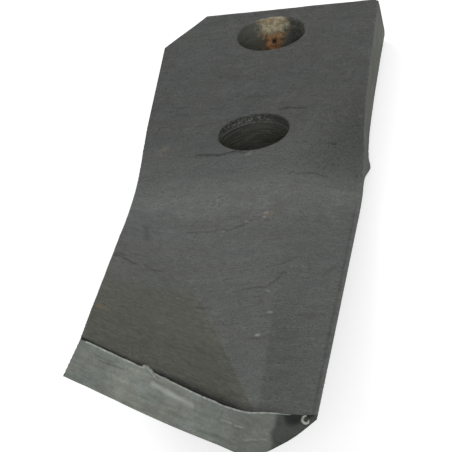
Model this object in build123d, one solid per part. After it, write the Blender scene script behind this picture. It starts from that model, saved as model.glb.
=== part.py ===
from build123d import *
import math
import os

# Power harrow tine: one forged piece, made from a flat bar.
# X is the width, Y the length with the head at +Y, Z the height of the flat head.
# The origin lies midway between the two bolt holes, on the back face of the head.

# Driving dimensions, in millimetres and degrees

# Head
bar_width = 65.0
bar_thickness = 12.0
edge_ease = 0.6
hole_diameter = 21.0
hole_spacing = 60.0
end_margin = 15.5
corner_cut_across = 11.3
corner_cut_along = 18.0

# Bend between the head and the blade
neck_length = 33.5
bend_half_length = 8.0
left_bend_half_length = 24.0
bend_skew = 5.0
blade_rise = 5.7

# Blade
blade_length = 136.5
tip_thickness = 11.7
ridge_tip_thickness = 10.2
valley_start_inset = 4.8
ridge_start_inset = 18.0
ridge_tip_inset = 13.5
facet_gap_at_tip = 1.6
left_edge_drift = 8.2
left_lean = 31.6
right_lean = 6.0
blade_hollow = 0.6
back_belly = 1.1

# Sides of the neck: the right one is pressed down and spread, the left one drawn in
twist_length = 52.0
right_drop = 5.2
right_spread = 1.1
left_draw_in = 1.1

# Cut end of the blade
tip_rake = 15.0
tip_yaw = 3.0

# Knife bevel under the right edge of the blade
knife_width = 12.9
knife_edge = 1.4
knife_bulge = 0.8
knife_runout_start = 36.0
knife_runout_end = 6.0

# Places worked out from the driving dimensions

half_width = bar_width / 2
hole_near_y = -hole_spacing / 2
hole_far_y = hole_spacing / 2
head_end_y = hole_far_y + end_margin
bend_y = hole_near_y - neck_length
tip_y = bend_y - blade_length
twist_start_y = bend_y + twist_length
rise_slope = math.tan(math.radians(blade_rise))
skew_slope = math.tan(math.radians(bend_skew))
left_lean_slope = math.tan(math.radians(left_lean))
right_lean_slope = math.tan(math.radians(right_lean))
knife_start_y = bend_y + knife_runout_start
knife_full_y = bend_y + knife_runout_end
tip_stock = 0.8 * tip_thickness
blade_start_y = bend_y - left_bend_half_length - bend_half_length
neck_steps = 16

ridge_tip_x = half_width - ridge_tip_inset
valley_tip_x = ridge_tip_x - facet_gap_at_tip
left_tip_x = -half_width + left_draw_in + left_edge_drift
right_tip_x = half_width + right_spread
left_tip_rise = rise_slope * blade_length + left_lean_slope * (valley_tip_x - left_tip_x)
right_tip_rise = rise_slope * blade_length - right_lean_slope * (right_tip_x - ridge_tip_x)


def blend(start, end, share):
    """A value that goes from start to end as share goes from 0 to 1."""
    return start + (end - start) * min(1.0, max(0.0, share))


def ease(share):
    """A share from 0 to 1 that starts and ends level."""
    share = min(1.0, max(0.0, share))
    return share * share * (3 - 2 * share)


def past_bend(x, y, half_length):
    """How far a point lies past the bend line, rounded off over the length of the bend."""
    run = bend_y - skew_slope * x - y
    if run <= -half_length:
        return 0.0
    if run >= half_length:
        return run
    return (run + half_length) ** 2 / (4 * half_length)


def front_line(y):
    """The visible face at one station, from the left edge to the right, as (x, z).

    The points are the left edge, the middle of the hollow left facet, the valley, the ridge and the right edge.
    """
    along = (bend_y - y) / blade_length
    pressed = ease((twist_start_y - y) / twist_length)
    left_run = past_bend(-half_width, y, left_bend_half_length) / blade_length
    right_run = past_bend(right_tip_x, y, bend_half_length) / blade_length

    valley_x = blend(-half_width + valley_start_inset, valley_tip_x, along)
    if along > 0:
        ridge_x = blend(half_width - ridge_start_inset, ridge_tip_x, along)
    else:
        ridge_x = half_width - blend(valley_start_inset, ridge_start_inset, pressed)
    left_x = -half_width + left_draw_in * pressed + left_edge_drift * left_run
    right_x = half_width + right_spread * pressed

    left_z = left_tip_rise * left_run
    valley_z = rise_slope * past_bend(valley_x, y, bend_half_length)
    ridge_z = rise_slope * past_bend(ridge_x, y, bend_half_length)
    right_z = (right_tip_rise + right_drop) * right_run - right_drop * pressed
    middle_z = (left_z + valley_z) / 2 - blade_hollow * left_run

    heights = (left_z, middle_z, valley_z, ridge_z, right_z)
    places = (left_x, (left_x + valley_x) / 2, valley_x, ridge_x, right_x)
    return [(x, z + bar_thickness) for x, z in zip(places, heights)]


def down_from(step):
    """The unit vector that points down, square to a step from left to right."""
    return Vector(step.Y, -step.X).normalized()


def back_line(y):
    """The hidden face: the visible one moved down by the thickness, its corners mitred.

    The sides stay upright in the neck and turn with the facets towards the tip. Under the hollow left facet
    the back bellies down.
    """
    left, _, valley, ridge, right = [Vector(x, z) for x, z in front_line(y)]
    corners = [left, valley, ridge, right]
    facets = [down_from(b - a) for a, b in zip(corners, corners[1:])]
    along = (bend_y - y) / blade_length
    left_side = Vector(0, -1).rotate(Axis.Z, -blend(0, left_lean, along))
    right_side = Vector(0, -1).rotate(Axis.Z, -blend(0, right_lean, along))
    inner_mitres = [(a + b).normalized() for a, b in zip(facets, facets[1:])]
    mitres = [left_side] + inner_mitres + [right_side]
    left_depth = blend(bar_thickness, tip_thickness, along)
    ridge_depth = blend(bar_thickness, ridge_tip_thickness, along)
    depths = [left_depth, (left_depth + ridge_depth) / 2, ridge_depth, ridge_depth]
    moved = []
    for corner, mitre, facet, depth in zip(corners, mitres, facets + facets[-1:], depths):
        moved.append(corner + mitre * (depth / mitre.dot(facet)))
    belly = Vector(0, -blend(0, back_belly, along))
    moved.insert(1, (moved[0] + moved[1]) / 2 + belly)
    return [(point.X, point.Y) for point in moved]


def knife_line(y):
    """The bevel under the right edge, from its upper corner to its lower one.

    On the head it is no more than an eased corner, and it grows to its full size past the bend.
    """
    front, back = Vector(*front_line(y)[-1]), Vector(*back_line(y)[-1])
    inward = (Vector(*back_line(y)[-2]) - back).normalized()
    upward = (front - back).normalized()
    full_rise = (front - back).length - knife_edge
    grown = ease((knife_start_y - y) / (knife_start_y - knife_full_y))
    share = blend(edge_ease / bar_thickness, 1, grown)
    high = back + upward * full_rise * share
    low = back + inward * knife_width * share
    slope = (high - low).normalized()
    bulge = Vector(slope.Y, -slope.X) * knife_bulge * share
    return [high, (high + low) / 2 + bulge, low]


def eased(corner, before, after):
    """A corner cut back by the same length along both of its sides."""
    return [corner + (side - corner).normalized() * edge_ease for side in (before, after)]


def station_face(y):
    """The section of the bar at one station, as a face standing across the bar."""
    front = [Vector(x, z) for x, z in front_line(y)]
    back = [Vector(x, z) for x, z in back_line(y)]
    knife = knife_line(y)
    outline = eased(front[0], back[0], front[1]) + front[1:-1]
    outline += eased(front[-1], front[-2], knife[0]) + knife
    outline += back[-2:0:-1] + eased(back[0], back[1], front[0])
    return Face(Wire.make_polygon([Vector(point.X, y, point.Y) for point in outline], close=True))


def head_plate():
    """The flat head, with its far left corner cut off."""
    plate = extrude(station_face(twist_start_y), head_end_y - twist_start_y, dir=(0, 1, 0))
    cut = Polyline(
        (-half_width, head_end_y - corner_cut_along),
        (-half_width + corner_cut_across, head_end_y),
        (-half_width, head_end_y),
        close=True,
    )
    return plate - extrude(make_face(cut), bar_thickness)


def neck():
    """The twist and the bend: a smooth loft from the head to the start of the blade."""
    run = twist_start_y - blade_start_y
    stations = [twist_start_y - run * step / neck_steps for step in range(neck_steps + 1)]
    return loft([station_face(y) for y in stations])


def blade():
    """The blade, whose facets are flat, running a little past the cut end."""
    return loft([station_face(y) for y in (blade_start_y, tip_y, tip_y - tip_stock)], ruled=True)


def tip_plane():
    """The plane of the cut end, through the top of the ridge at the tip and facing off the end."""
    corner = front_line(tip_y)[-2]
    facing = Vector(0, -1, 0).rotate(Axis.X, -tip_rake).rotate(Axis.Z, tip_yaw)
    return Plane(origin=(corner[0], tip_y, corner[1]), z_dir=facing)


def bolt_hole(y):
    return Pos(0, y, bar_thickness / 2) * Cylinder(hole_diameter / 2, 3 * bar_thickness)


tine = head_plate() + neck() + blade()
tine = split(tine, tip_plane(), keep=Keep.BOTTOM)
tine -= bolt_hole(hole_near_y) + bolt_hole(hole_far_y)

os.makedirs("parts", exist_ok=True)
export_step(tine, "parts/harrow_tine.step")
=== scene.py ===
import math

import bpy
import numpy as np
from mathutils import Matrix, Vector, noise
from mathutils.kdtree import KDTree


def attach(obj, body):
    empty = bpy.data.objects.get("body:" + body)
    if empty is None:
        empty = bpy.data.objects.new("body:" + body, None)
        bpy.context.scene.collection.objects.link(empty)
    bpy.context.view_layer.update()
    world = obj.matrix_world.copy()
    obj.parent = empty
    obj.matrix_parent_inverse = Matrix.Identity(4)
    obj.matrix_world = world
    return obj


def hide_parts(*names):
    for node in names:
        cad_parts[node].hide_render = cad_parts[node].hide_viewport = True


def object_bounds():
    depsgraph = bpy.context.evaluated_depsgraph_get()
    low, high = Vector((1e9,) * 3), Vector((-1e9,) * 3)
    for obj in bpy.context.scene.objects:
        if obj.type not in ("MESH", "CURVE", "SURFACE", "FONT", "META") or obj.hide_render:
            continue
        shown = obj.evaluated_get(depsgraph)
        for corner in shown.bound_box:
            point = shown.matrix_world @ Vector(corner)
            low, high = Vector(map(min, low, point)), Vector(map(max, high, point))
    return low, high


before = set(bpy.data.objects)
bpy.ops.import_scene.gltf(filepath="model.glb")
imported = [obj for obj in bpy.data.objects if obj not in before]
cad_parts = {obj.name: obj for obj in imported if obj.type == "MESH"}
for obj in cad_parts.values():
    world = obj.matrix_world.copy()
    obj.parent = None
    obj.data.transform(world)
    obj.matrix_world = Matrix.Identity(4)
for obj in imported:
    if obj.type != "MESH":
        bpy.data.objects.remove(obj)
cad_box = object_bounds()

# Power harrow tine: the forged piece as a dense mesh, with its worn edges, scale, rust and sheared end.
# Lengths in this script are in millimetres in the part's own frame, and MM turns them into metres.

MM = 0.001

# The part's own dimensions, as in its source

HALF_WIDTH, THICK = 32.5, 12.0
HEAD_END_Y, CUT_ACROSS, CUT_ALONG = 45.5, 11.3, 18.0
HOLE_R, HOLE_YS = 10.5, (-30.0, 30.0)
BEND_Y, BEND_HALF, LEFT_BEND_HALF, TWIST_LENGTH = -63.5, 8.0, 24.0, 52.0
BLADE_LENGTH, TIP_THICK, RIDGE_TIP_THICK, HOLLOW, BELLY = 136.5, 11.7, 10.2, 0.6, 1.1
RISE = math.tan(math.radians(5.7))
SKEW = math.tan(math.radians(5.0))
LEFT_LEAN, RIGHT_LEAN = math.radians(31.6), math.radians(6.0)
VALLEY_INSET, RIDGE_INSET = 4.8, 18.0
LEFT_DRAW_IN, LEFT_DRIFT = 1.1, 8.2
RIGHT_DROP, RIGHT_SPREAD = 5.2, 1.1
KNIFE_WIDTH, KNIFE_EDGE, KNIFE_BULGE = 12.9, 1.4, 0.8
KNIFE_START, KNIFE_FULL, EASED_SHARE = BEND_Y + 36.0, BEND_Y + 6.0, 0.05
TIP_Y = BEND_Y - BLADE_LENGTH
TWIST_START = BEND_Y + TWIST_LENGTH
RIDGE_TIP_X = HALF_WIDTH - 13.5
VALLEY_TIP_X = RIDGE_TIP_X - 1.6
LEFT_TIP_X = -HALF_WIDTH + LEFT_DRAW_IN + LEFT_DRIFT
RIGHT_TIP_X = HALF_WIDTH + RIGHT_SPREAD


# The unevenness of the forged skin, as the size of its lumps and their height

UNEVENNESS = ((17.0, 0.16), (6.0, 0.07), (2.4, 0.03))
STREAK_SIZE, STREAK_HEIGHT = 3.0, 0.05

# The worn edges: the width of the rounding, and how far their own tone reaches

WORN_WIDTH, WORN_REACH = 1.8, 1.5

# The step in each punched wall, as its height and its depth

NEAR_STEP, FAR_STEP = (8.9, 0.25), (7.5, 0.1)


def blend(start, end, share):
    """A value that goes from start to end as share goes from 0 to 1."""
    return start + (end - start) * np.clip(share, 0.0, 1.0)


def ease(share):
    """A share from 0 to 1 that starts and ends level."""
    share = np.clip(share, 0.0, 1.0)
    return share * share * (3 - 2 * share)


def past_bend(x, y, half):
    """How far a point lies past the bend line, rounded off over the length of the bend."""
    run = BEND_Y - SKEW * x - y
    soft = (run + half) ** 2 / (4 * half)
    return np.where(run <= -half, 0.0, np.where(run >= half, run, soft))


def front_points(y):
    """The five points of the visible face at each y, as arrays of x and z."""
    along = (BEND_Y - y) / BLADE_LENGTH
    pressed = ease((TWIST_START - y) / TWIST_LENGTH)
    left_run = past_bend(-HALF_WIDTH, y, LEFT_BEND_HALF) / BLADE_LENGTH
    right_run = past_bend(RIGHT_TIP_X, y, BEND_HALF) / BLADE_LENGTH
    valley_x = blend(-HALF_WIDTH + VALLEY_INSET, VALLEY_TIP_X, along)
    neck_ridge_x = HALF_WIDTH - blend(VALLEY_INSET, RIDGE_INSET, pressed)
    ridge_x = np.where(along > 0, blend(HALF_WIDTH - RIDGE_INSET, RIDGE_TIP_X, along), neck_ridge_x)
    left_x = -HALF_WIDTH + LEFT_DRAW_IN * pressed + LEFT_DRIFT * left_run
    right_x = HALF_WIDTH + RIGHT_SPREAD * pressed
    left_tip_z = RISE * BLADE_LENGTH + math.tan(LEFT_LEAN) * (VALLEY_TIP_X - LEFT_TIP_X)
    right_tip_z = RISE * BLADE_LENGTH - math.tan(RIGHT_LEAN) * (RIGHT_TIP_X - RIDGE_TIP_X)
    left_z, valley_z = left_tip_z * left_run, RISE * past_bend(valley_x, y, BEND_HALF)
    right_z = (right_tip_z + RIGHT_DROP) * right_run - RIGHT_DROP * pressed
    middle_z = (left_z + valley_z) / 2 - HOLLOW * left_run
    xs = np.stack([left_x, (left_x + valley_x) / 2, valley_x, ridge_x, right_x])
    zs = np.stack([left_z, middle_z, valley_z, RISE * past_bend(ridge_x, y, BEND_HALF), right_z])
    return xs, zs + THICK


def back_points(y):
    """The hidden face: the visible one moved down by the thickness, with the knife bevel at its right."""
    all_x, all_z = front_points(y)
    xs, zs = all_x[[0, 2, 3, 4]], all_z[[0, 2, 3, 4]]
    along = np.clip((BEND_Y - y) / BLADE_LENGTH, 0, 1)
    left_depth, ridge_depth = blend(THICK, TIP_THICK, along), blend(THICK, RIDGE_TIP_THICK, along)
    depths = [left_depth, (left_depth + ridge_depth) / 2, ridge_depth, ridge_depth]
    dx, dz = np.diff(xs, axis=0), np.diff(zs, axis=0)
    size = np.hypot(dx, dz)
    down_x, down_z = dz / size, -dx / size
    left_turn, right_turn = -math.pi / 2 - LEFT_LEAN * along, -math.pi / 2 - RIGHT_LEAN * along
    mitre_x = [np.cos(left_turn), down_x[0] + down_x[1], down_x[1] + down_x[2], np.cos(right_turn)]
    mitre_z = [np.sin(left_turn), down_z[0] + down_z[1], down_z[1] + down_z[2], np.sin(right_turn)]
    out_x, out_z = [], []
    for k in range(4):
        length = np.hypot(mitre_x[k], mitre_z[k])
        mx, mz = mitre_x[k] / length, mitre_z[k] / length
        facet = min(k, 2)
        reach = depths[k] / (mx * down_x[facet] + mz * down_z[facet])
        out_x.append(xs[k] + mx * reach)
        out_z.append(zs[k] + mz * reach)
    middle_x = (out_x[0] + out_x[1]) / 2
    middle_z = (out_z[0] + out_z[1]) / 2 - BELLY * along
    share = blend(EASED_SHARE, 1.0, ease((KNIFE_START - y) / (KNIFE_START - KNIFE_FULL)))
    up_x, up_z = xs[3] - out_x[3], zs[3] - out_z[3]
    up = np.hypot(up_x, up_z)
    in_x, in_z = out_x[2] - out_x[3], out_z[2] - out_z[3]
    inward = np.hypot(in_x, in_z)
    rise = (up - KNIFE_EDGE) * share / up
    width = KNIFE_WIDTH * share / inward
    high_x, high_z = out_x[3] + up_x * rise, out_z[3] + up_z * rise
    low_x, low_z = out_x[3] + in_x * width, out_z[3] + in_z * width
    mid_x = (high_x + low_x) / 2 + 0.7 * KNIFE_BULGE * share
    mid_z = (high_z + low_z) / 2 - 0.7 * KNIFE_BULGE * share
    xs = np.stack([out_x[0], middle_x, out_x[1], out_x[2], low_x, mid_x, high_x])
    zs = np.stack([out_z[0], middle_z, out_z[1], out_z[2], low_z, mid_z, high_z])
    return xs, zs


def soft_line(x, xs, zs, widths):
    """The height of a run of straight lines at x, with its inner corners rounded off over each width."""
    z = zs[0] + 0 * x
    steps = np.maximum(np.diff(xs, axis=0), 1e-4)
    slopes = np.clip(np.diff(zs, axis=0) / steps, -3, 3)
    for k in range(len(slopes)):
        z = z + slopes[k] * np.clip(x - xs[k], 0, steps[k])
    for k, width in enumerate(widths, start=1):
        w = np.minimum(width, 0.9 * np.minimum(xs[k] - xs[0], xs[-1] - xs[k]))
        w = np.maximum(w, 1e-3)
        near = np.maximum(w - np.abs(x - xs[k]), 0)
        z = z + (slopes[k] - slopes[k - 1]) * near ** 2 / (4 * w)
    return z


def top_at(a, y):
    """x and z on the visible face, at a share a of its width."""
    xs, zs = front_points(y)
    x = xs[0] + (xs[-1] - xs[0]) * a
    along = (BEND_Y - y) / BLADE_LENGTH
    return x, soft_line(x, xs, zs, (8.0, blend(6.0, 2.4, along), blend(6.0, 3.0, along)))


def back_at(a, y):
    """x and z on the hidden face, at a share a of its width."""
    xs, zs = back_points(y)
    x = xs[0] + (xs[-1] - xs[0]) * a
    return x, soft_line(x, xs, zs, (8.0, 2.5, 2.5, 1.5, 3.0))


# The cut end lies in one plane, through the top of the ridge at the tip

RAKE, YAW = math.radians(15.0), math.radians(3.0)
facing = Matrix.Rotation(YAW, 3, "Z") @ Matrix.Rotation(-RAKE, 3, "X") @ Vector((0, -1, 0))
tip_xs, tip_zs = front_points(np.array([TIP_Y]))
CORNER = (float(tip_xs[3][0]), TIP_Y, float(tip_zs[3][0]))


def cut_y(x, z):
    """y of the cut end's plane."""
    return CORNER[1] - (facing.x * (x - CORNER[0]) + facing.z * (z - CORNER[2])) / facing.y


def end_y(a, face):
    """Where the cut end crosses a face of the bar, for each share a of its width."""
    y = np.full_like(a, TIP_Y)
    for _ in range(30):
        x, z = face(a, y)
        y = cut_y(x, z)
    return y


def head_y(a):
    """Where the head ends, with its far left corner cut off."""
    x = -HALF_WIDTH + 2 * HALF_WIDTH * a
    worn_corner = 1.3 * np.clip((a - 0.975) / 0.025, 0, 1) ** 2
    cut_line = HEAD_END_Y - CUT_ALONG + (x + HALF_WIDTH) * CUT_ALONG / CUT_ACROSS
    return np.minimum(HEAD_END_Y, cut_line) - worn_corner


def rough(points, scale, seed):
    """Smooth random values from -1 to 1 at points in mm, for one size of unevenness."""
    shift = Vector((seed * 13.7, seed * 5.1, seed * 9.3))
    return np.array([noise.noise(Vector(p) / scale + shift) for p in points])


def placed(name, data):
    """A new object in the scene, for a mesh, a light or a camera."""
    thing = bpy.data.objects.new(name, data)
    bpy.context.scene.collection.objects.link(thing)
    return thing


def ringed_mesh(name, points, rings, around):
    """A closed mesh over rings of points, with a cap at each end."""
    quads = []
    for i in range(rings - 1):
        for s in range(around):
            t = (s + 1) % around
            quads.append((i * around + s, i * around + t, (i + 1) * around + t, (i + 1) * around + s))
    quads.append(tuple(range(around))[::-1])
    quads.append(tuple((rings - 1) * around + s for s in range(around)))
    mesh = bpy.data.meshes.new(name)
    mesh.from_pydata(points, [], quads)
    mesh.update()
    return mesh


# The body's mesh: a grid over every face, like a bent and twisted box

COLUMNS, ROWS, DEEP = 86, 320, 13
cut_share = CUT_ACROSS / (2 * HALF_WIDTH)
a_line = np.unique(np.concatenate([np.linspace(0.018, 0.982, COLUMNS), [0.0, cut_share, 1.0]]))
c_line = np.concatenate([[0.0], np.linspace(0.005, 0.995, ROWS), [1.0]])
b_line = np.concatenate([[0.0], np.linspace(0.11, 0.89, DEEP), [1.0]])
NA, NB, NC = len(a_line), len(b_line), len(c_line)
A, C = np.meshgrid(a_line, c_line, indexing="ij")
top_y = head_y(a_line)[:, None] + (end_y(a_line, top_at) - head_y(a_line))[:, None] * C
back_y = head_y(a_line)[:, None] + (end_y(a_line, back_at) - head_y(a_line))[:, None] * C
top_x, top_z = top_at(A, top_y)
back_x, back_z = back_at(A, back_y)
TOP = np.stack([top_x, top_y, top_z], axis=-1)
BACK = np.stack([back_x, back_y, back_z], axis=-1)

# The lower right edge isn't quite straight: it stands out in the neck and at the far end, and lies in between

side_y = (-50.0, -44.0, -38.0, -34.0, -30.0, -25.0, 5.0, 30.0, 42.0)
side_x = (0.0, 0.3, 0.6, 0.2, -0.45, -0.6, -0.45, 0.0, 0.3)
BACK[-1, :, 0] += np.interp(back_y[-1], side_y, side_x)

# The shear drew the visible face down a little beside the cut, and up at the ridge: drawn_z is how far down

drawn_x = (-24.0, -13.0, -7.0, -3.0, 2.0, 7.0, 11.5, 14.5, 17.0, 19.0, 22.0, 28.0, 34.0)
drawn_z = (0.3, 0.2, 0.1, 0.45, 0.7, 0.9, 0.85, 0.35, -0.3, -0.65, -0.4, 0.1, 0.1)
drawn = sum(np.interp(top_x + shift, drawn_x, drawn_z) for shift in (-2.0, -1.0, 0.0, 1.0, 2.0)) / 5
DRAWN_LENGTH = 12.0
TOP[:, :, 2] -= drawn * ease(1 - (top_y - top_y[:, -1:]) / DRAWN_LENGTH)
TOP[:, -1, 1] = cut_y(TOP[:, -1, 0], TOP[:, -1, 2])

# Points on the surface only, numbered in index, and the faces between them

index = -np.ones((NA, NB, NC), dtype=int)
verts = []
for i in range(NA):
    for j in range(NB):
        inner_side = 0 < i < NA - 1
        inner_deep = 0 < j < NB - 1
        cs = (0, NC - 1) if inner_side and inner_deep else range(NC)
        for k in cs:
            b = b_line[j]
            index[i, j, k] = len(verts)
            verts.append(TOP[i, k] * (1 - b) + BACK[i, k] * b)
faces = []


def sheet(ids, flip):
    """Faces over a grid of point numbers, turned over if flip is set."""
    for p in range(ids.shape[0] - 1):
        for q in range(ids.shape[1] - 1):
            quad = [int(ids[p, q]), int(ids[p + 1, q]), int(ids[p + 1, q + 1]), int(ids[p, q + 1])]
            faces.append(quad[::-1] if flip else quad)


sheet(index[:, 0, :], True)
sheet(index[:, -1, :], False)
sheet(index[0, :, :], True)
sheet(index[-1, :, :], False)
sheet(index[:, :, 0], False)
sheet(index[:, :, -1], True)
verts = np.array(verts)

# Forging unevenness: broad hollows and small dents, pushed along the surface's own normal

blank = bpy.data.meshes.new("blank")
blank.from_pydata([tuple(v) for v in verts], [], faces)
blank.update()
normals = np.array([v.normal[:] for v in blank.vertices])
broad = sum(rough(verts, size, seed) * height for seed, (size, height) in enumerate(UNEVENNESS, start=1))
stretched = verts * np.array([0.28, 1.0, 1.0])
broad += rough(stretched, STREAK_SIZE, 4) * STREAK_HEIGHT
verts = verts + normals * broad[:, None]

body_mesh = bpy.data.meshes.new("tine_body")
body_mesh.from_pydata([tuple(v * MM) for v in verts], [], faces)
body_mesh.update()
body = placed("tine_body", body_mesh)

# Edges that are unevenly rounded: the twelve of the twisted box and the second one of the cut-off corner. The
# two across the cut end and the two along the right side are sharper, and the far right corner is rounder.

cut_column = int(np.argmin(np.abs(a_line - cut_share)))
runs = [index[i, j, :] for i in (0, NA - 1) for j in (0, NB - 1)]
runs += [index[:, j, k] for j in (0, NB - 1) for k in (0, NC - 1)]
runs += [index[i, :, k] for i in (0, NA - 1) for k in (0, NC - 1)]
runs += [index[cut_column, :, 0]]
worn = {}
for number, run in enumerate(runs):
    for p, q in zip(run[:-1], run[1:]):
        worn[(min(p, q), max(p, q))] = number
weights = body_mesh.attributes.new("bevel_weight_edge", "FLOAT", "EDGE")
RIGHT_TOP, RIGHT_BACK, CUT_TOP, CUT_BACK, FAR_CORNER = 2, 3, 5, 7, 10
sharper = {RIGHT_TOP: 0.75, RIGHT_BACK: 0.75, CUT_TOP: 0.45, CUT_BACK: 0.45}
for edge in body_mesh.edges:
    key = tuple(sorted(edge.vertices))
    if key in worn:
        start = Vector(verts[key[0]])
        wear = (0.38 + 0.12 * noise.noise(start / 7.0)) * sharper.get(worn[key], 1.0)
        weights.data[edge.index].value = 0.65 if worn[key] == FAR_CORNER else wear
bevel = body.modifiers.new("worn_edges", "BEVEL")
bevel.width = WORN_WIDTH * MM
bevel.segments = 3
bevel.limit_method = "WEIGHT"
bevel.use_clamp_overlap = True


def lathe(name, profile, y, crust):
    """A hole cutter: rings of (radius, z) in mm round the hole's axis, roughened inwards by crust."""
    around = 120
    points = []
    for r, z in profile:
        for s in range(around):
            turn = 2 * math.pi * s / around
            p = Vector((math.cos(turn) * r, math.sin(turn) * r, z))
            grain = 0.06 * noise.noise(p / 1.6) + 0.05 * noise.noise(p / 5.0 + Vector((3, 1, 0)))
            bite = crust(p) if 0.5 < z < THICK - 0.5 else 0.0
            uneven = 0.3 * (p.x / r - 0.4) if z > THICK - 0.6 else 0.0
            scale = (r + grain + uneven - bite) / r
            points.append(((p.x * scale) * MM, (p.y * scale + y) * MM, z * MM))
    return placed(name, ringed_mesh(name, points, len(profile), around))


def hole_profile(step_z, step):
    """The punched wall from below: a small burr, the clean lower part, a step and the wider torn part."""
    low = [(HOLE_R + 0.3, -1.5), (HOLE_R - 0.3, 0.0), (HOLE_R - 0.25, 0.5)]
    wall = [(HOLE_R + (0.0 if z < step_z else step), z) for z in np.linspace(1.0, THICK - 0.7, 30)]
    top = [(HOLE_R + 0.08, THICK - 0.35), (HOLE_R + 0.2, THICK - 0.1), (HOLE_R + 0.5, THICK + 0.15),
           (HOLE_R + 2.0, THICK + 1.5)]
    return low + [(float(r), float(z)) for r, z in wall] + top


def rust_crust(p):
    """Rust and dirt that stand out from the far wall of the far hole."""
    middle = math.exp(-((p.x - 1.6) / 3.6) ** 2) if p.y > 0 else 0.0
    return middle * max(0.0, 0.35 + 0.9 * noise.noise(p / 1.7 + Vector((4, 4, 4))))


def torn_wall(p):
    """The torn upper part of the near hole's wall, rough where the punch broke through."""
    torn = 1.0 if p.z > NEAR_STEP[0] else 0.15
    return torn * 0.22 * noise.noise(p / 0.7 + Vector((7, 2, 1)))


cutters = [lathe("cut_near", hole_profile(*NEAR_STEP), HOLE_YS[0], torn_wall),
           lathe("cut_far", hole_profile(*FAR_STEP), HOLE_YS[1], rust_crust)]
for cutter in cutters:
    cut = body.modifiers.new(cutter.name, "BOOLEAN")
    cut.operation = "DIFFERENCE"
    cut.solver = "EXACT"
    cut.object = cutter
shown = body.evaluated_get(bpy.context.evaluated_depsgraph_get())
finished = bpy.data.meshes.new_from_object(shown)
body.modifiers.clear()
body.data = finished
for cutter in cutters:
    bpy.data.objects.remove(cutter, do_unlink=True)
low, high = np.array(cad_box)
for vertex in finished.vertices:
    vertex.co = np.clip(vertex.co, low, high)
for face in finished.polygons:
    face.use_smooth = True
finished.set_sharp_from_angle(angle=math.radians(38))

# How near each point lies to a worn edge, for the materials: 1 on the edge, falling to 0

edge_tree = KDTree(sum(len(run) for run in runs))
for run in runs:
    for p in run:
        edge_tree.insert(Vector(verts[p]), int(p))
edge_tree.balance()
near_edge = finished.attributes.new("near_edge", "FLOAT", "POINT")
for vertex in finished.vertices:
    away = edge_tree.find(vertex.co / MM)[2]
    near_edge.data[vertex.index].value = max(0.0, 1.0 - away / WORN_REACH)


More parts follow.
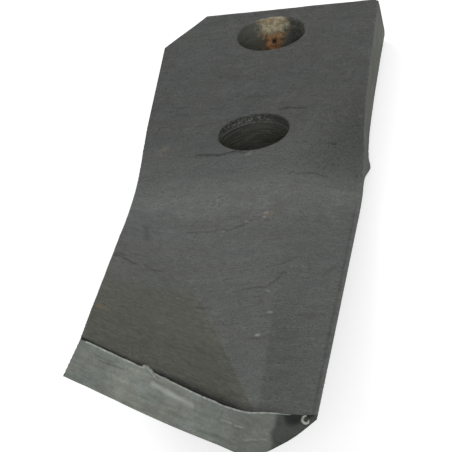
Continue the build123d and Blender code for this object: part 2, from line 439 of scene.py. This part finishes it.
class Nodes:
    """Short names for the shader nodes that a material is written with. Its places are in mm."""

    def __init__(self, name):
        self.material = bpy.data.materials.new(name)
        self.material.use_nodes = True
        self.tree = self.material.node_tree
        self.tree.nodes.clear()
        out = self.tree.nodes.new("ShaderNodeOutputMaterial")
        self.shader = self.tree.nodes.new("ShaderNodeBsdfPrincipled")
        self.tree.links.new(self.shader.outputs[0], out.inputs["Surface"])
        place = self.tree.nodes.new("ShaderNodeTexCoord")
        scale = self.tree.nodes.new("ShaderNodeVectorMath")
        scale.operation = "SCALE"
        scale.inputs["Scale"].default_value = 1 / MM
        self.tree.links.new(place.outputs["Object"], scale.inputs[0])
        self.normal = place.outputs["Normal"]
        self.place = scale.outputs[0]
        split = self.tree.nodes.new("ShaderNodeSeparateXYZ")
        self.tree.links.new(self.place, split.inputs[0])
        self.x, self.y, self.z = split.outputs

    def put(self, value, socket):
        """Link an output to a socket, or write a plain value on it."""
        if isinstance(value, bpy.types.NodeSocket):
            self.tree.links.new(value, socket)
        elif socket.type == "RGBA":
            socket.default_value = (*value, 1.0)
        else:
            socket.default_value = value

    def math(self, operation, *values):
        node = self.tree.nodes.new("ShaderNodeMath")
        node.operation = operation
        for value, socket in zip(values, node.inputs):
            self.put(value, socket)
        return node.outputs[0]

    def chain(self, operation, values):
        """One operation over all the values, from the first to the last."""
        total = values[0]
        for value in values[1:]:
            total = self.math(operation, total, value)
        return total

    def add(self, *values):
        return self.chain("ADD", values)

    def mul(self, *values):
        return self.chain("MULTIPLY", values)

    def most(self, *values):
        return self.chain("MAXIMUM", values)

    def off_middle(self, value):
        """Noise moved down, so that it runs to both sides of 0."""
        return self.math("SUBTRACT", value, 0.5)

    def apart(self, value, middle):
        """How far a value lies from a middle one, to either side."""
        return self.math("ABSOLUTE", self.math("SUBTRACT", value, middle))

    def vector(self, operation, *values, out=0):
        node = self.tree.nodes.new("ShaderNodeVectorMath")
        node.operation = operation
        for value, socket in zip(values, node.inputs):
            self.put(value, socket)
        return node.outputs[out]

    def scaled(self, factors):
        return self.vector("MULTIPLY", self.place, factors)

    def noise(self, size, detail=3.0, roughness=0.55, source=None, distortion=0.0):
        """Noise from 0 to 1 whose lumps are about this many mm across."""
        node = self.tree.nodes.new("ShaderNodeTexNoise")
        self.tree.links.new(source or self.place, node.inputs["Vector"])
        node.inputs["Scale"].default_value = 1.0 / size
        node.inputs["Detail"].default_value = detail
        node.inputs["Roughness"].default_value = roughness
        node.inputs["Distortion"].default_value = distortion
        return node.outputs["Fac"]

    def ramp(self, kind, *numbers):
        """A value carried from one range to another and held level past both ends."""
        node = self.tree.nodes.new("ShaderNodeMapRange")
        node.interpolation_type = kind
        for name, number in zip(("Value", "From Min", "From Max", "To Min", "To Max"), numbers):
            self.put(number, node.inputs[name])
        return node.outputs["Result"]

    def step(self, value, start, end, low=0.0, high=1.0):
        """A soft step from low to high, as the value goes from start to end."""
        return self.ramp("SMOOTHSTEP", value, start, end, low, high)

    def step_line(self, value, start, end, low, high):
        """A straight line from low to high, as the value goes from start to end."""
        return self.ramp("LINEAR", value, start, end, low, high)

    def mix(self, share, first, second):
        node = self.tree.nodes.new("ShaderNodeMix")
        node.data_type = "RGBA"
        self.put(share, node.inputs["Factor"])
        self.put(first, node.inputs[6])
        self.put(second, node.inputs[7])
        return node.outputs[2]

    def tinted(self, colour, share):
        """A colour, or any other three numbers, made larger or smaller by a share."""
        node = self.tree.nodes.new("ShaderNodeVectorMath")
        node.operation = "SCALE"
        self.put(colour, node.inputs[0])
        self.put(share, node.inputs["Scale"])
        return node.outputs[0]

    def line(self, points, width):
        """1 on a drawn line of points on the flattened place, falling to 0 at the stated width."""
        nearest = None
        for (x0, y0), (x1, y1) in zip(points, points[1:]):
            run = Vector((x1 - x0, y1 - y0, 0))
            rel = self.vector("SUBTRACT", self.flat, (x0, y0, 0))
            share = self.vector("DOT_PRODUCT", rel, tuple(run / run.length_squared), out=1)
            clamp = self.tree.nodes.new("ShaderNodeClamp")
            self.put(share, clamp.inputs[0])
            away = self.vector("DISTANCE", rel, self.tinted(tuple(run), clamp.outputs[0]), out=1)
            nearest = away if nearest is None else self.math("MINIMUM", nearest, away)
        return self.step(nearest, width, 0.0)

    def lines(self, marks):
        """The strongest of several drawn lines, each with its width and its depth of tone."""
        return self.most(*[self.mul(self.line(points, width), depth) for points, width, depth in marks])

    def spot(self, x, y, size):
        """1 in the middle of a round spot on the flattened place, falling to 0 at its edge."""
        away = self.vector("DISTANCE", self.flat, (x, y, 0), out=1)
        return self.step(away, size, size * 0.35)

    def spots(self, marks):
        """The strongest of several round spots, each with its size and its share."""
        return self.most(*[self.mul(self.spot(x, y, size), share) for x, y, size, share in marks])

    def spot3(self, middle, size):
        """1 in the middle of a ball-shaped spot, falling to 0 at its edge."""
        away = self.vector("DISTANCE", self.place, middle, out=1)
        return self.step(away, size, size * 0.35)

    def near_edge(self):
        """1 on a worn edge, falling to 0 away from it."""
        node = self.tree.nodes.new("ShaderNodeAttribute")
        node.attribute_name = "near_edge"
        return node.outputs["Fac"]

    def bump(self, height, strength, distance):
        node = self.tree.nodes.new("ShaderNodeBump")
        node.inputs["Strength"].default_value = strength
        node.inputs["Distance"].default_value = distance * MM
        self.put(height, node.inputs["Height"])
        return node.outputs[0]

    def flatten(self, wander, size, seen=None):
        """Set self.flat, the place from above or as seen, shaken so that drawn lines aren't straight.

        Also set self.turned, the same turned by the lean of the left facet.
        """
        node = self.tree.nodes.new("ShaderNodeTexNoise")
        self.tree.links.new(self.place, node.inputs["Vector"])
        node.inputs["Scale"].default_value = 1.0 / size
        node.inputs["Detail"].default_value = 2.0
        shaken = self.vector("SUBTRACT", node.outputs["Color"], (0.5, 0.5, 0.5))
        shaken = self.vector("MULTIPLY", shaken, (wander * 2, wander * 2, 0))
        self.flat = self.vector("ADD", seen or self.scaled((1, 1, 0)), shaken)
        turn = self.tree.nodes.new("ShaderNodeVectorRotate")
        turn.rotation_type = "Z_AXIS"
        turn.inputs["Angle"].default_value = LEFT_LEAN
        self.tree.links.new(self.flat, turn.inputs["Vector"])
        self.turned = turn.outputs[0]


def grey(level, tint=(1.0, 1.0, 1.0)):
    """A colour from a display grey of 0 to 255."""
    share = level / 255
    linear = share / 12.92 if share <= 0.04045 else ((share + 0.055) / 1.055) ** 2.4
    return tuple(linear * t for t in tint)


# Marks on the visible face, in mm: dark lines as points (x, y) with a width and a depth of tone, and pale
# chips and rust as (x, y, size, share)

CRACKS = (
    (((-15.4, -40.6), (-9.5, -41.6), (-4.0, -40.6), (-1.2, -41.8)), 1.25, 1.0),
    (((-17.6, -41.4), (-12.0, -42.6)), 0.9, 0.5),
    (((7.1, -18.0), (10.4, -17.6), (14.4, -18.9)), 1.05, 1.0),
    (((-24.0, -15.4), (-20.6, -16.6)), 1.3, 0.35),
    (((-26.0, -10.6), (-22.8, -11.4)), 1.2, 0.35),
    (((-3.0, -8.6), (1.4, -9.0)), 1.3, 0.35),
    (((-12.6, -88.6), (-7.2, -89.4), (-4.6, -88.4)), 0.9, 0.6),
    (((-3.2, -88.4), (-1.2, -89.8), (2.3, -86.8), (3.4, -85.4)), 1.0, 0.7),
    (((1.0, -87.6), (5.0, -83.6)), 0.9, 0.5),
    (((4.6, -128.6), (9.6, -127.2), (13.1, -127.1), (15.5, -123.9), (17.1, -117.5)), 0.9, 0.65),
    (((12.6, -114.6), (16.8, -112.6), (19.9, -108.0)), 0.9, 0.6),
    (((6.4, -134.0), (8.0, -138.2), (11.4, -138.3), (13.3, -135.9)), 0.8, 0.5),
    (((6.4, -134.0), (9.6, -132.6), (12.8, -133.2)), 0.8, 0.35),
    (((-5.4, -138.2), (-1.2, -137.4)), 1.1, 0.6),
    (((-27.6, -121.0), (-26.0, -117.0)), 1.7, 0.85),
    (((-25.6, -120.2), (-22.0, -121.4)), 1.5, 0.85),
    (((-24.6, -114.0), (-21.0, -111.4)), 1.3, 0.5),
    (((-20.2, -118.6), (-18.3, -120.8), (-16.0, -119.2)), 1.2, 0.65),
    (((-24.9, -86.8), (-23.6, -91.0), (-23.0, -97.0)), 1.4, 0.65),
    (((-21.8, -88.6), (-17.6, -89.2)), 1.0, 0.45),
    (((11.9, -157.2), (15.2, -157.8), (17.4, -155.6)), 0.8, 0.5),
    (((14.0, -144.6), (18.2, -143.4)), 0.8, 0.4),
    (((15.4, -56.0), (19.5, -55.2), (23.5, -56.6)), 0.9, 0.6),
    (((9.5, -97.6), (14.8, -97.0)), 0.7, 0.4),
    (((27.6, -118.0), (30.4, -112.0)), 0.9, 0.4),
)
CHIPS = (
    (8.5, -79.4, 0.9, 0.6), (8.3, -82.4, 0.8, 0.7), (3.4, -84.6, 0.8, 0.5), (13.4, -124.6, 0.6, 0.4),
    (14.2, -129.6, 0.9, 0.5), (16.0, -142.6, 1.1, 0.6), (14.2, -155.6, 1.2, 1.0), (-9.1, -136.0, 0.6, 0.6),
    (-0.2, -42.6, 1.5, 0.3), (-2.6, -89.6, 0.6, 0.3),
)
RUST = (
    (-25.7, -35.4, 2.2, 0.4), (-26.3, -38.4, 1.5, 0.3), (-23.6, -166.1, 1.5, 1.0), (-23.4, -166.1, 3.2, 0.35),
    (31.4, -25.4, 1.2, 0.5), (9.4, -80.6, 2.6, 0.55), (13.4, -126.4, 1.3, 0.3),
)

# Marks on the cut end, written the same way with points (x, z): fine dark lines, and brighter dragged metal

END_LINES = (
    (((-20.4, 45.4), (-15.6, 42.8)), 0.45, 0.5),
    (((-19.4, 43.8), (-13.6, 40.8)), 0.5, 0.6),
    (((-13.4, 33.2), (-9.0, 30.6)), 0.6, 0.4),
    (((3.0, 23.0), (9.0, 20.4)), 0.9, 0.35),
    (((9.8, 27.2), (9.2, 25.4)), 0.5, 0.5),
    (((12.0, 18.6), (18.0, 18.4)), 0.9, 0.35),
    (((-10.0, 33.4), (-8.4, 32.4)), 0.8, 0.4),
    (((-5.8, 31.4), (-3.6, 30.2)), 0.8, 0.4),
)
END_BRIGHT = (
    (((-6.8, 36.4), (-3.2, 33.6), (2.3, 29.5)), 1.15, 0.8),
    (((9.2, 25.2), (11.6, 23.9)), 0.45, 0.7),
    (((12.6, 23.2), (14.4, 22.6)), 0.4, 0.6),
    (((14.6, 19.2), (20.0, 18.6)), 0.5, 0.3),
)

# Painted light and shade of each part of the skin, and the left facet darker towards its tip

BASE, END_BASE = 66, 112
HEAD_SHADE, BEND_HIGHLIGHT, PRESSED_LIGHT = 0.74, 1.25, 1.15
RIGHT_FACET_SHADE, LEFT_FACET_SHADE, LEFT_TIP_TONE, RIDGE_LIGHT = 0.85, 0.84, 0.84, 1.12


def forged_steel():
    """Dark grey forging scale: grained, cloudy, folded in places, with single marks and spots of rust.
    Painted light and shade on each facet, and a painted shadow behind the lip of the cut.
    """
    n = Nodes("forged_steel")
    n.flatten(0.9, 2.0)
    grain = n.noise(0.5, 4.0, 0.75, n.scaled((0.85, 0.5, 0.8)))
    streaks = n.noise(1.0, 3.0, 0.65, n.scaled((0.5, 0.8, 0.7)), 0.8)
    cloud = n.noise(4.0, 3.0, 0.62, n.scaled((0.7, 0.75, 0.7)))
    wide = n.noise(24.0, 3.0, 0.5)
    broken = n.step(grain, 0.4, 0.56, 0.25, 1.0)
    folds = n.noise(2.4, 2.0, 0.5, n.scaled((0.6, 0.85, 0.6)), 1.2)
    fold = n.mul(n.step(n.apart(folds, 0.5), 0.035, 0.0), n.step(cloud, 0.44, 0.57))
    upper = n.step(n.vector("DOT_PRODUCT", n.normal, (0.0, 0.0, 1.0), out=1), -0.2, 0.2)
    cracks = n.mul(n.lines(CRACKS), broken, upper)
    chips = n.mul(n.spots(CHIPS), upper)
    rust = n.mul(n.spots(RUST), broken, upper)

    valley = n.step_line(n.y, BEND_Y, TIP_Y, -HALF_WIDTH + VALLEY_INSET, VALLEY_TIP_X)
    ridge = n.step_line(n.y, BEND_Y, TIP_Y, HALF_WIDTH - RIDGE_INSET, RIDGE_TIP_X)
    shaken = n.off_middle(cloud)
    shaken_y = n.add(n.y, n.mul(shaken, 26.0))
    from_valley = n.math("SUBTRACT", n.x, valley)
    on_left = n.mul(n.step(from_valley, 1.5, -0.2), upper,
                    n.step(n.add(shaken_y, n.mul(from_valley, -0.45)), -112.0, -142.0))
    from_ridge = n.math("SUBTRACT", n.x, ridge)
    on_right = n.mul(n.step(from_ridge, -1.2, 0.6), n.step_line(from_ridge, 2.0, 13.5, 1.0, 0.35),
                     n.step(shaken_y, -110.0, -165.0), upper)
    by_ridge = n.mul(n.step(from_ridge, -8.5, -3.0), n.step(from_ridge, 0.6, -1.2),
                     n.step(n.y, -150.0, -176.0), upper)
    # A painted highlight along the band at the bend
    band = n.mul(n.step(shaken_y, -86.0, -68.0), n.step(shaken_y, -48.0, -62.0))
    pressed = n.mul(n.step(n.x, 2.0, 24.0), n.step(n.y, -76.0, -62.0), n.step(n.y, -16.0, -34.0))
    # A painted shadow: a dark band just behind the torn lip along the cut
    behind_cut = n.vector("DOT_PRODUCT", n.vector("SUBTRACT", n.place, CORNER), tuple(facing), out=1)
    lip_shadow_reach = n.step_line(n.x, -22.0, 8.0, -3.0, -8.0)
    lip_shadow = n.mul(n.step(n.add(behind_cut, n.mul(shaken, 3.0)), lip_shadow_reach, -0.8),
                   n.step(n.x, 27.0, 12.0), upper)
    edge = n.near_edge()
    worn = n.mul(n.step(edge, 0.45, 0.95), n.step(cloud, 0.4, 0.6))
    inner = n.mul(n.step(edge, 0.0, 0.35), n.step(edge, 0.7, 0.4), n.step(n.x, 28.0, 31.0),
                  n.step(n.y, -66.0, -72.0))

    dark = n.most(n.mul(fold, 0.42), n.mul(cracks, 0.85), n.mul(lip_shadow, 0.95), n.mul(inner, 0.35))
    # Painted light and shade by facet, also scaling the specular level; the left facet also darker towards
    # the tip
    facet_shading_and_tone = n.mul(n.step(shaken_y, -50.0, -26.0, 1.0, HEAD_SHADE), n.step(band, 0.0, 1.0, 1.0, BEND_HIGHLIGHT),
                   n.step(pressed, 0.0, 1.0, 1.0, PRESSED_LIGHT), n.step(on_right, 0.0, 1.0, 1.0, RIGHT_FACET_SHADE),
                   n.step(on_left, 0.0, 1.0, 1.0, LEFT_FACET_SHADE), n.step(by_ridge, 0.0, 1.0, 1.0, RIDGE_LIGHT),
                   n.step(n.mul(on_left, n.step(n.y, -140.0, -188.0)), 0.0, 1.0, 1.0, LEFT_TIP_TONE))
    calm = n.step_line(on_left, 0.0, 1.0, 1.0, 0.55)
    grain_tone = n.add(1.0, n.mul(n.step(grain, 0.32, 0.68, -0.38, 0.38), calm))
    streak_tone = n.add(1.0, n.mul(n.step(streaks, 0.32, 0.68, -0.13, 0.13), calm))
    tone = n.mul(facet_shading_and_tone, grain_tone, streak_tone,
                 n.step(cloud, 0.32, 0.68, 0.8, 1.18), n.step(wide, 0.35, 0.65, 0.96, 1.04),
                 n.step_line(dark, 0.0, 1.0, 1.0, 0.08), n.step(worn, 0.0, 1.0, 1.0, 1.25))
    cool = n.step(n.noise(14.0, 3.0, 0.5, n.vector("ADD", n.place, (0.0, 70.0, 0.0))), 0.42, 0.62)
    colour = n.mix(cool, grey(BASE, (0.99, 1.05, 0.94)), grey(BASE, (0.95, 1.04, 1.0)))
    colour = n.mix(n.mul(n.step(wide, 0.45, 0.65), 0.7), colour, grey(BASE, (1.01, 1.04, 0.89)))
    colour = n.mix(n.mul(on_right, 0.7), colour, grey(BASE, (0.98, 1.06, 0.92)))
    colour = n.mix(on_left, colour, grey(BASE, (1.02, 1.06, 0.78)))
    colour = n.tinted(colour, tone)
    colour = n.mix(rust, colour, (0.17, 0.11, 0.06))
    colour = n.mix(n.mul(chips, 0.7), colour, grey(145, (1.0, 1.0, 0.96)))
    n.put(colour, n.shader.inputs["Base Color"])
    n.put(n.mul(facet_shading_and_tone, n.step_line(dark, 0.0, 1.0, 0.5, 0.04)), n.shader.inputs["Specular IOR Level"])
    n.put(n.mix(on_left, (1.0, 1.0, 1.0), (1.0, 1.0, 0.62)), n.shader.inputs["Specular Tint"])
    n.put(n.step(streaks, 0.32, 0.68, 0.42, 0.58), n.shader.inputs["Roughness"])
    unevenness = n.add(n.mul(grain, 0.45), n.mul(streaks, 0.4), -0.42)
    relief = n.add(n.mul(unevenness, calm), n.mul(fold, -0.12))
    n.put(n.bump(relief, 0.9, 0.32), n.shader.inputs["Normal"])
    return n.material


def sheared_steel():
    """The cut end: brighter torn steel, mottled, with a dragged band, a dark corner, fine dark lines and a
    painted shadow round the curl.
    """
    n = Nodes("sheared_steel")
    flat = n.tree.nodes.new("ShaderNodeCombineXYZ")
    n.put(n.x, flat.inputs[0])
    n.put(n.z, flat.inputs[1])
    n.flatten(0.25, 1.6, flat.outputs[0])
    mottle = n.noise(4.5, 4.0, 0.6)
    grain = n.noise(0.7, 3.0, 0.7)
    drag = n.noise(1.1, 4.0, 0.65, n.vector("MULTIPLY", n.turned, (0.13, 1.0, 1.0)))
    broken = n.step(grain, 0.38, 0.56, 0.3, 1.0)
    dark = n.mul(n.lines(END_LINES), broken)
    band = n.mul(n.lines(END_BRIGHT), n.step(drag, 0.35, 0.6, 0.55, 1.0))
    soft = n.spot(-12.6, 38.6, 7.5)
    right = n.add(n.x, n.mul(n.z, -0.32), n.mul(n.off_middle(mottle), 4.0))
    shade = n.mul(n.step(right, 14.4, 16.6), n.step(n.z, 29.0, 26.0))
    # A painted shadow round the curl at the right end of the lip
    curl_shadow = n.spots(((27.6, 23.8, 3.4, 0.9), (31.8, 24.4, 2.2, 0.9)))
    tone = n.mul(n.step(mottle, 0.3, 0.7, 0.82, 1.1), n.step(grain, 0.3, 0.7, 0.88, 1.1),
                 n.step(drag, 0.3, 0.7, 0.84, 1.14), n.step(soft, 0.0, 1.0, 1.0, 1.2),
                 n.step(dark, 0.0, 1.0, 1.0, 0.4), n.step(shade, 0.0, 1.0, 1.0, 0.45),
                 n.step(curl_shadow, 0.0, 1.0, 1.0, 0.2), n.step(n.x, -2.0, 14.0, 1.0, 0.76),
                 n.step(n.x, -12.0, -20.0, 1.0, 0.92))
    tint = n.step(n.noise(6.0, 2.0), 0.4, 0.62)
    colour = n.mix(tint, grey(END_BASE, (0.96, 1.06, 0.94)), grey(END_BASE, (0.99, 1.06, 0.9)))
    colour = n.tinted(colour, tone)
    colour = n.mix(n.mul(band, 0.55), colour, grey(178, (0.98, 1.0, 0.94)))
    n.put(colour, n.shader.inputs["Base Color"])
    gloss = n.step_line(n.most(shade, dark, curl_shadow), 0.0, 1.0, 0.5, 0.15)
    n.put(gloss, n.shader.inputs["Specular IOR Level"])
    n.put(n.step(drag, 0.3, 0.7, 0.42, 0.62), n.shader.inputs["Roughness"])
    relief = n.add(n.mul(mottle, 0.9), n.mul(drag, 0.5), n.mul(grain, 0.25))
    n.put(n.bump(relief, 0.7, 0.4), n.shader.inputs["Normal"])
    return n.material


def bore_steel():
    """The punched walls: dark and ringed, torn at the top of the near hole, rusted in the far one."""
    n = Nodes("bore_steel")
    grain = n.noise(0.5, 3.0, 0.7)
    rings = n.noise(0.62, 3.0, 0.6, n.scaled((0.1, 0.1, 1.0)))
    far = n.step(n.y, -1.0, 1.0)
    near = n.math("SUBTRACT", 1.0, far)
    clump = n.noise(1.4, 4.0, 0.65)
    shaken = n.off_middle(clump)
    torn = n.mul(near, n.step(n.add(n.z, n.mul(shaken, 1.6)), 9.4, 9.8))
    under_step = n.mul(near, n.step(n.apart(n.z, 8.75), 0.3, 0.1))
    wall = n.mix(far, grey(70, (1.02, 1.02, 0.84)), grey(92, (1.0, 1.03, 0.88)))
    ring_low, ring_high = n.step_line(far, 0.0, 1.0, 0.6, 0.85), n.step_line(far, 0.0, 1.0, 1.4, 1.15)
    tone = n.mul(n.step(grain, 0.3, 0.7, 0.72, 1.28), n.step(rings, 0.32, 0.68, ring_low, ring_high),
                 n.step(under_step, 0.0, 1.0, 1.0, 0.5))
    wall = n.tinted(wall, tone)
    specks = n.mul(n.step(n.noise(0.65, 1.0, 0.5), 0.42, 0.66), n.step(n.z, 11.8, 9.8, 0.4, 1.0),
                   n.step(n.x, 7.0, -1.0, 0.2, 1.0))
    wall = n.mix(torn, wall, n.mix(specks, grey(56, (1.0, 1.02, 0.92)), grey(118, (0.98, 1.02, 0.96))))
    ledge = n.mul(near, n.step(n.apart(n.z, 9.15), 0.3, 0.1), n.step(grain, 0.4, 0.6))
    wall = n.mix(n.mul(ledge, 0.6), wall, grey(104, (0.98, 1.02, 0.96)))
    lower = n.step(n.z, 7.0, 4.4)
    across = n.add(n.x, n.mul(shaken, 5.0), n.mul(n.off_middle(n.noise(4.0, 2.0)), 4.0))
    left = n.step_line(lower, 0.0, 1.0, -4.6, -3.4)
    right = n.step_line(lower, 0.0, 1.0, 3.8, 1.4)
    patchy = n.step(n.noise(1.2, 3.0, 0.7), 0.42, 0.6, 0.5, 1.0)
    wall = n.tinted(wall, n.step(n.mul(far, n.step(n.x, 2.0, 7.0)), 0.0, 1.0, 1.0, patchy))
    rusty = n.mul(far, n.step(n.math("SUBTRACT", across, left), -1.8, 1.6),
                  n.step(n.math("SUBTRACT", across, right), 1.6, -1.8), n.step(n.y, 33.0, 36.0))
    high = n.step(n.add(n.z, n.mul(shaken, 7.0)), 5.2, 7.0)
    rust = n.mix(n.step(clump, 0.38, 0.6), (0.19, 0.09, 0.035), (0.5, 0.26, 0.11))
    dust = n.mix(n.step(n.noise(1.1, 3.0, 0.6, n.vector("ADD", n.place, (9.0, 0.0, 0.0))), 0.4, 0.6),
                 (0.3, 0.23, 0.13), (0.46, 0.41, 0.29))
    crust = n.mix(high, rust, dust)
    hollow = n.mul(far, n.most(n.spot3((-0.9, 40.4, 3.6), 1.1), n.spot3((3.4, 40.0, 7.4), 0.9)))
    crust = n.mix(hollow, crust, (0.02, 0.012, 0.006))
    fringe = n.mul(far, n.step(n.x, -8.0, -4.0), n.step(n.x, -1.0, -4.0), n.step(n.z, 8.0, 4.0), 0.6)
    wall = n.mix(fringe, wall, (0.13, 0.105, 0.075))
    n.put(n.mix(rusty, wall, crust), n.shader.inputs["Base Color"])
    n.shader.inputs["Roughness"].default_value = 0.75
    relief = n.add(n.mul(grain, 0.5), n.mul(rings, 0.5), n.mul(clump, rusty, 0.8))
    n.put(n.bump(relief, 0.8, 0.4), n.shader.inputs["Normal"])
    return n.material


def side_steel():
    """The long sides and the head's end: a paler, warmer skin with streaks along the bar."""
    n = Nodes("side_steel")
    grain = n.noise(0.8, 3.0, 0.7)
    along = n.noise(1.1, 3.0, 0.6, n.scaled((1.0, 0.14, 1.0)))
    blotch = n.noise(7.0, 3.0, 0.6)
    tone = n.mul(n.step(grain, 0.3, 0.7, 0.9, 1.1), n.step(along, 0.3, 0.7, 0.86, 1.14),
                 n.step(blotch, 0.3, 0.7, 0.9, 1.1), n.step(n.near_edge(), 0.3, 0.9, 1.0, 0.86),
                 n.step(n.mul(n.step(n.z, 9.0, 1.0), n.step(n.y, -30.0, 0.0)), 0.0, 1.0, 0.85, 1.2))
    colour = n.mix(n.step(blotch, 0.4, 0.6), grey(106, (0.99, 1.04, 0.9)), grey(106, (1.01, 1.02, 0.86)))
    n.put(n.tinted(colour, tone), n.shader.inputs["Base Color"])
    n.shader.inputs["Roughness"].default_value = 0.55
    n.put(n.bump(n.add(n.mul(along, 0.6), n.mul(grain, 0.3)), 0.6, 0.3), n.shader.inputs["Normal"])
    return n.material


def burr_steel():
    """Torn lips of bright steel along the cut."""
    n = Nodes("burr_steel")
    fine, coarse = n.noise(0.8, 3.0), n.noise(5.0, 2.0)
    tone = n.mul(n.step(fine, 0.3, 0.7, 0.7, 1.25), n.step(coarse, 0.35, 0.65, 0.8, 1.15))
    n.put(n.tinted(grey(144, (0.97, 1.03, 0.93)), tone), n.shader.inputs["Base Color"])
    n.shader.inputs["Roughness"].default_value = 0.45
    return n.material


SKIN, CUT_END, BORE, SIDE = range(4)
for material in (forged_steel(), sheared_steel(), bore_steel(), side_steel()):
    finished.materials.append(material)
for face in finished.polygons:
    x, y, z = (v / MM for v in face.center)
    off_end = (x - CORNER[0]) * facing.x + (y - CORNER[1]) * facing.y + (z - CORNER[2]) * facing.z
    face.material_index = SKIN
    if abs(face.normal.x) > 0.8 or face.normal.y > 0.5:
        face.material_index = SIDE
    if off_end > -1.2 and face.normal.dot(facing) > 0.8:
        face.material_index = CUT_END
    for hole_y in HOLE_YS:
        if math.hypot(x, y - hole_y) < HOLE_R + 0.45 and abs(face.normal.z) < 0.8:
            face.material_index = BORE
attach(body, "root")
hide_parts("harrow_tine")


# The torn lip along the top of the cut and the curl at its right end

def tube(name, points, radii, material):
    """A round bead along points in mm, with its own radius at each of them."""
    around = 10
    places = []
    for k, (point, radius) in enumerate(zip(points, radii)):
        run = (points[min(k + 1, len(points) - 1)] - points[max(k - 1, 0)]).normalized()
        side = run.cross(facing).normalized()
        for s in range(around):
            turn = 2 * math.pi * s / around
            place = (point + (side * math.cos(turn) + run.cross(side) * math.sin(turn)) * radius) * MM
            places.append(tuple(np.clip(place, low, high)))
    mesh = ringed_mesh(name, places, len(points), around)
    for face in mesh.polygons:
        face.use_smooth = True
    mesh.materials.append(material)
    bead = placed(name, mesh)
    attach(bead, "root")


burr_metal = burr_steel()
across = (Vector((1, 0, 0)) - facing * facing.x).normalized()
upward = facing.cross(across)


def on_cut(x, z):
    """The point of the cut end at this x and z."""
    return Vector((x, float(cut_y(x, z)), z))


lip_points, lip_radii = [], []
for x in np.linspace(LEFT_TIP_X + 1.0, 27.0, 260):
    z = float(np.interp(x, TOP[:, -1, 0], TOP[:, -1, 2]))
    wave = noise.noise(Vector((x / 2.2, 3.0, 1.0))) + 0.5 * noise.noise(Vector((x / 0.8, 8.0, 2.0)))
    sway = 0.16 * noise.noise(Vector((x / 3.1, 1.0, 6.0)))
    taper = min(1.0, (27.3 - x) / 7.0)
    lip_points.append(on_cut(x, z) + facing * 0.05 + upward * (sway - 0.12))
    lip_radii.append(max(0.08, (0.25 + 0.12 * wave) * taper))
tube("shear_burr", lip_points, lip_radii, burr_metal)
knob = ((-9.2, 40.8, 0.0, 0.15), (-8.3, 41.1, 0.15, 0.4), (-7.5, 40.7, 0.25, 0.52), (-6.8, 39.8, 0.25, 0.5),
        (-6.2, 38.7, 0.15, 0.42), (-5.8, 37.3, -0.2, 0.2))
knob_points = [on_cut(x, z) + facing * off for x, z, off, radius in knob]
tube("lip_knob", knob_points, [radius for x, z, off, radius in knob], burr_metal)
curl_middle = on_cut(30.8, 22.7)
curl_points, curl_radii = [], []
for share in np.linspace(0, 1, 40):
    turn = math.radians(75 + 290 * share)
    reach = 1.1 - 0.45 * share
    curl_points.append(curl_middle + (across * math.cos(turn) + upward * math.sin(turn)) * reach
                       + facing * (0.3 + 0.4 * share))
    curl_radii.append(0.16 + 0.26 * math.sin(math.pi * share))
tube("burr_curl", curl_points, curl_radii, burr_metal)

# Floor, light and camera

floor_mesh = bpy.data.meshes.new("floor")
wide, level = 6.0, cad_box[0][2]
corners = ((-wide, -wide), (wide, -wide), (wide, wide), (-wide, wide))
floor_mesh.from_pydata([(x, y, level) for x, y in corners], [], [(0, 1, 2, 3)])
floor = placed("floor", floor_mesh)
paper = bpy.data.materials.new("pale_floor")
paper.use_nodes = True
tree = paper.node_tree
tree.nodes.clear()
out = tree.nodes.new("ShaderNodeOutputMaterial")
matt = tree.nodes.new("ShaderNodeBsdfDiffuse")
matt.inputs["Color"].default_value = (0.8, 0.8, 0.8, 1.0)
glow = tree.nodes.new("ShaderNodeEmission")
glow.inputs["Color"].default_value = (1.0, 1.0, 1.0, 1.0)
path = tree.nodes.new("ShaderNodeLightPath")
lift = tree.nodes.new("ShaderNodeMath")
lift.operation = "MULTIPLY"
lift.inputs[1].default_value = 0.62
both = tree.nodes.new("ShaderNodeAddShader")
tree.links.new(path.outputs["Is Camera Ray"], lift.inputs[0])
tree.links.new(lift.outputs[0], glow.inputs["Strength"])
tree.links.new(matt.outputs[0], both.inputs[0])
tree.links.new(glow.outputs[0], both.inputs[1])
tree.links.new(both.outputs[0], out.inputs["Surface"])
floor_mesh.materials.append(paper)

world = bpy.data.worlds.new("studio")
bpy.context.scene.world = world
world.use_nodes = True
sky = world.node_tree.nodes["Background"]
sky.inputs["Color"].default_value = (0.97, 1.0, 0.98, 1.0)
sky.inputs["Strength"].default_value = 0.35


LIGHT_AIM = (0.0, -0.08, 0.01)


def softbox(name, place, width, height, power):
    """A rectangular light at a place in metres, turned to the middle of the tine."""
    light = bpy.data.lights.new(name, "AREA")
    light.shape = "RECTANGLE"
    light.size, light.size_y = width, height
    light.energy = power
    lamp = placed(name, light)
    lamp.location = place
    aim = Vector(LIGHT_AIM) - Vector(place)
    lamp.rotation_euler = aim.to_track_quat("-Z", "Y").to_euler()


softbox("key", (-0.9, 0.9, 1.3), 0.9, 0.9, 9.0)
softbox("strip", (0.0, 2.0, 0.4), 1.8, 0.4, 5.0)
softbox("front", (0.3, -1.6, 0.7), 1.2, 0.8, 14.0)

camera_data = bpy.data.cameras.new("camera")
camera = placed("camera", camera_data)
right, up, back = (0.9821, 0.0939, -0.1631), (0.0913, 0.5203, 0.8491), (0.1646, -0.8488, 0.5024)
turn = Matrix((right, up, back)).transposed().to_4x4()
camera.matrix_world = Matrix.Translation(Vector((182.3, -1037.8, 577.5)) * MM) @ turn
camera_data.sensor_width = 36.0
camera_data.lens = 318.6
camera_data.clip_start = 0.01
camera_data.clip_end = 100.0
bpy.context.scene.camera = camera
bpy.context.scene.view_settings.view_transform = "Standard"
